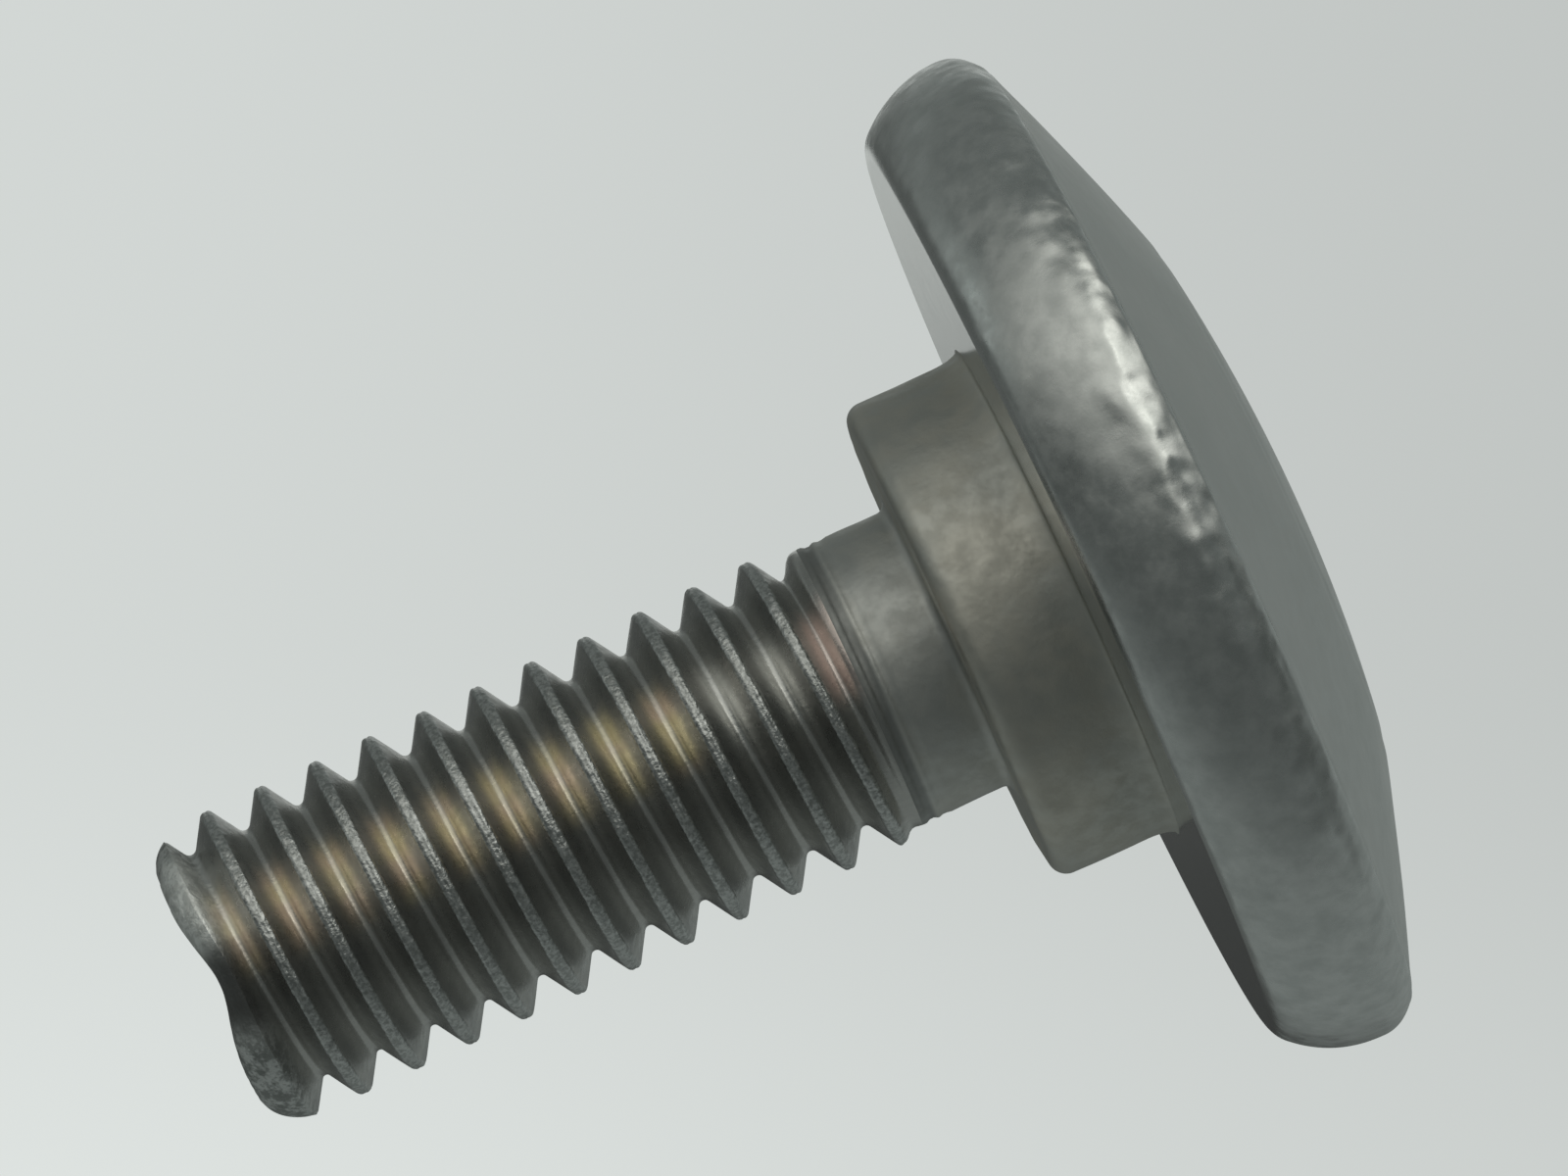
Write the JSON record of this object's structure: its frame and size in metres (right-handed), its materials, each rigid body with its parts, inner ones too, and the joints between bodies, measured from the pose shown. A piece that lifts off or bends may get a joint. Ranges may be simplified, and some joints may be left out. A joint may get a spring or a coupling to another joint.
{
  "type": "mushroom-head shoulder screw",
  "caption": "Steel shoulder screw with a wide round domed head, a locating collar, a plain neck and a rolled right-hand thread.",
  "frame": {"origin": "centre of the collar's seat face, the ring that bears on the part the screw is driven into", "axes": "+Z along the screw's axis towards the head, so the thread points down; X and Y are free, because the outline is round"},
  "size_m": [0.0256, 0.0256, 0.0282],
  "materials": {
    "rolled_steel": "cold-rolled thread, dark and glossy, with a warm straw tint in the roots",
    "satin_steel": "satin, faintly warm, with a soft mottled sheen",
    "tumbled_steel": "tumbled, mottled and softly dented",
    "smooth_steel": "smooth, even satin grey"
  },
  "bodies": {
    "root": {"threaded_shank": "rolled_steel", "neck": "satin_steel", "collar": "satin_steel", "head_disc": "tumbled_steel", "crown": "smooth_steel"}
  },
  "joints": []
}
